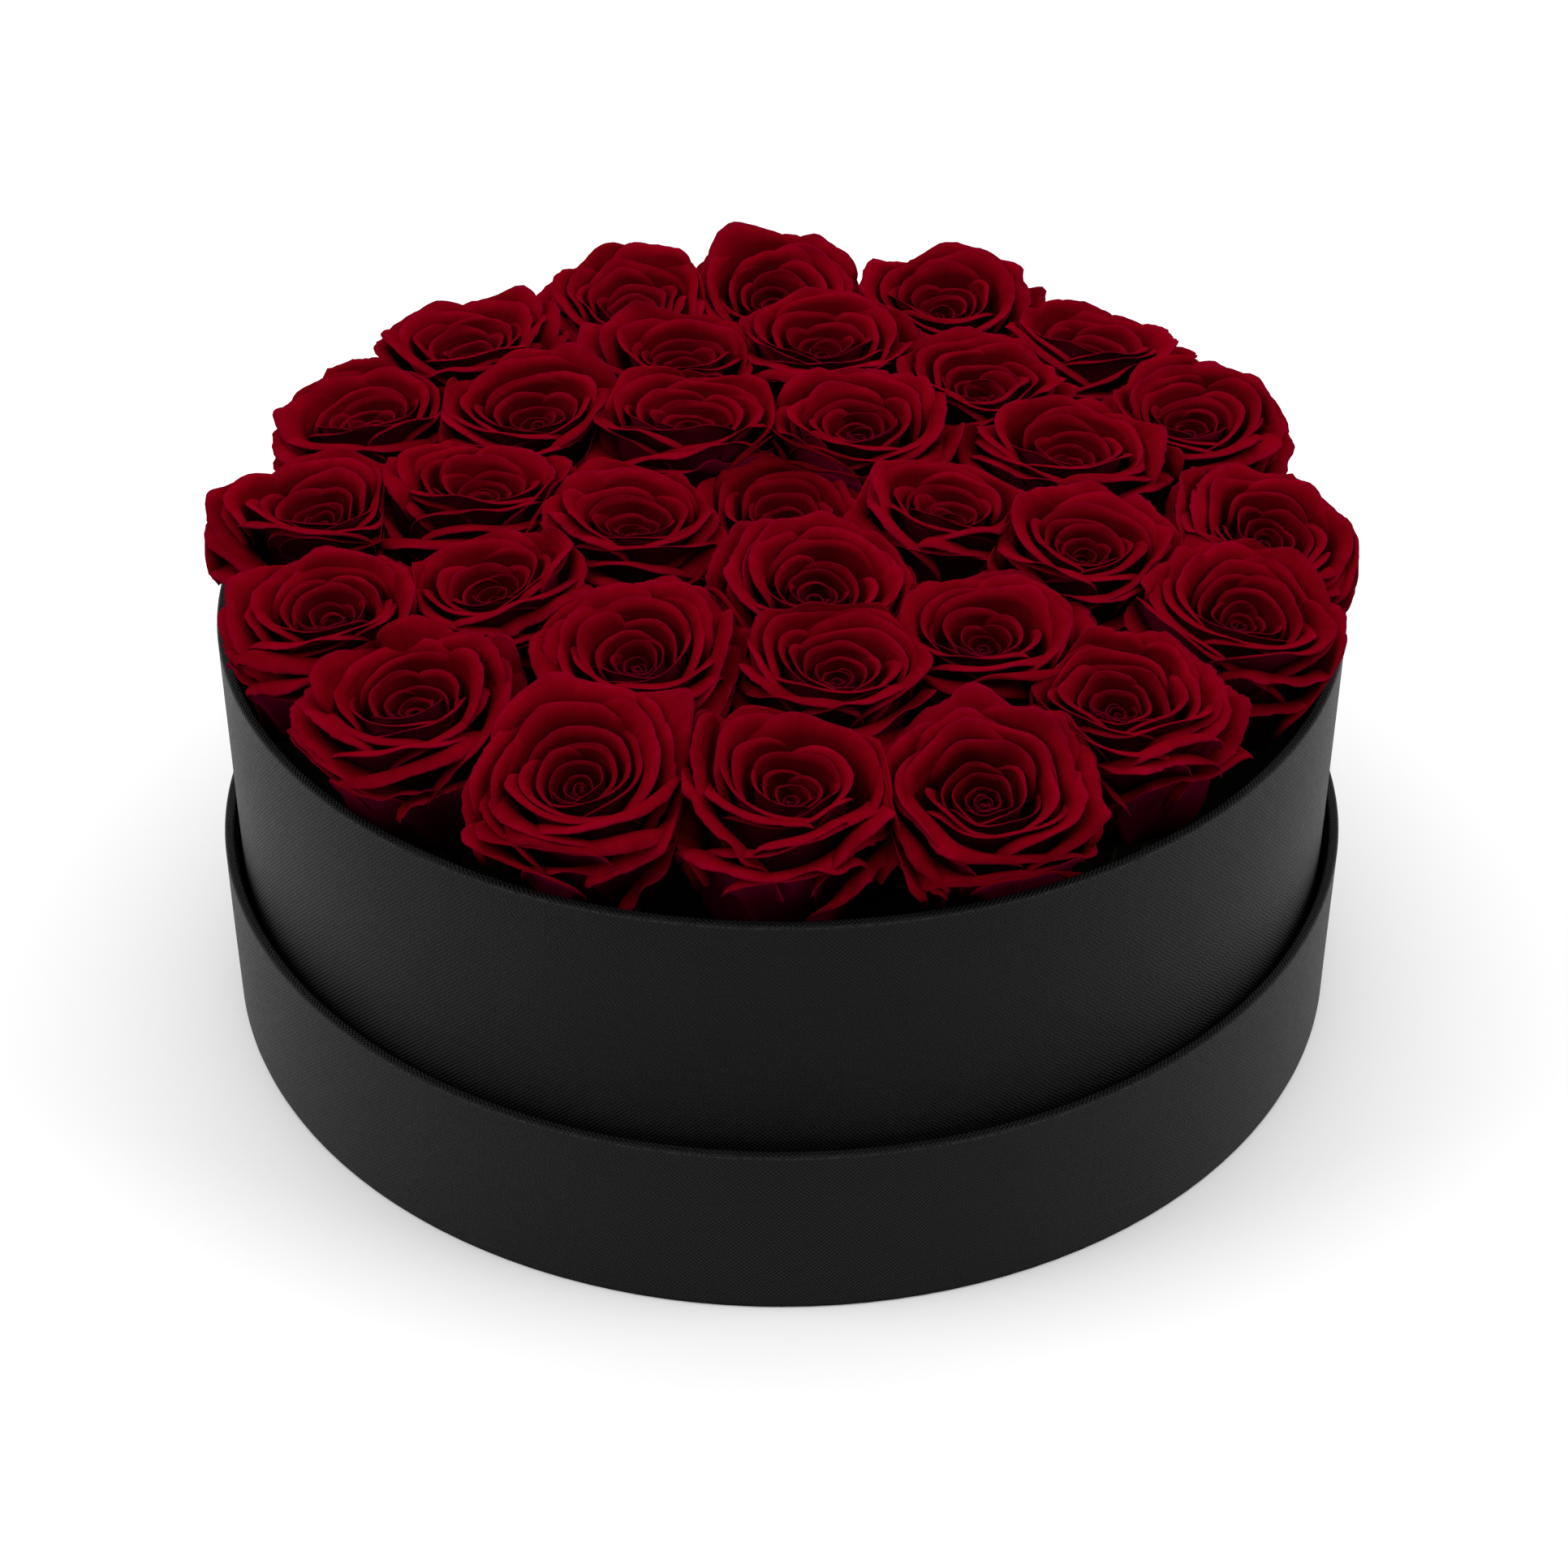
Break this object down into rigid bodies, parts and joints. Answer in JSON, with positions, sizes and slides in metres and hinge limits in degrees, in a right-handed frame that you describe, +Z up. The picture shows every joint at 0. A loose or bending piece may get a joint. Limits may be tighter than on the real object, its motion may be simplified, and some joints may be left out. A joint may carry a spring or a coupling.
{
  "type": "flower box",
  "caption": "Round rigid flower box packed with rose heads in dry foam, standing in its own upturned lid as a base tray.",
  "frame": {"origin": "centre of the base tray's underside, where the part stands on a table", "axes": "+Z up along the axis of the round box, -Y towards the front, +X to the right as seen from the front"},
  "size_m": [0.3298, 0.3298, 0.1647],
  "materials": {
    "cover_paper": "matte, fine embossed linen grain",
    "lining_paper": "matte",
    "greyboard": "matte",
    "foam": "matte, open-celled",
    "stem": "satin",
    "petal": "matte, velvety"
  },
  "bodies": {
    "base_tray": {"tray_wall_board": "greyboard", "tray_wrap": "cover_paper", "tray_lining": "lining_paper", "tray_plate_board": "greyboard", "tray_plate_cover": "cover_paper", "tray_floor_paper": "lining_paper"},
    "flower_box": {"box_wall_board": "greyboard", "box_wrap": "cover_paper", "box_lining": "lining_paper", "box_base_board": "greyboard", "box_base_cover": "cover_paper", "box_floor_paper": "lining_paper"},
    "rose_insert": {"foam_disc": "foam", "rose_stems": "stem", "rose_calyxes": "stem", "rose_01": "petal", "rose_02": "petal", "rose_03": "petal", "rose_04": "petal", "rose_05": "petal", "rose_06": "petal", "rose_07": "petal", "rose_08": "petal", "rose_09": "petal", "rose_10": "petal", "rose_11": "petal", "rose_12": "petal", "rose_13": "petal", "rose_14": "petal", "rose_15": "petal", "rose_16": "petal", "rose_17": "petal", "rose_18": "petal", "rose_19": "petal", "rose_20": "petal", "rose_21": "petal", "rose_22": "petal", "rose_23": "petal", "rose_24": "petal", "rose_25": "petal", "rose_26": "petal", "rose_27": "petal", "rose_28": "petal", "rose_29": "petal", "rose_30": "petal", "rose_31": "petal", "rose_32": "petal", "rose_33": "petal"}
  },
  "joints": [
    {"name": "box_lift", "type": "slide", "parent": "base_tray", "child": "flower_box", "axis": [0, 0, 1], "range_m": [0, 0.08]},
    {"name": "insert_lift", "type": "slide", "parent": "flower_box", "child": "rose_insert", "axis": [0, 0, 1], "range_m": [0, 0.13]}
  ]
}
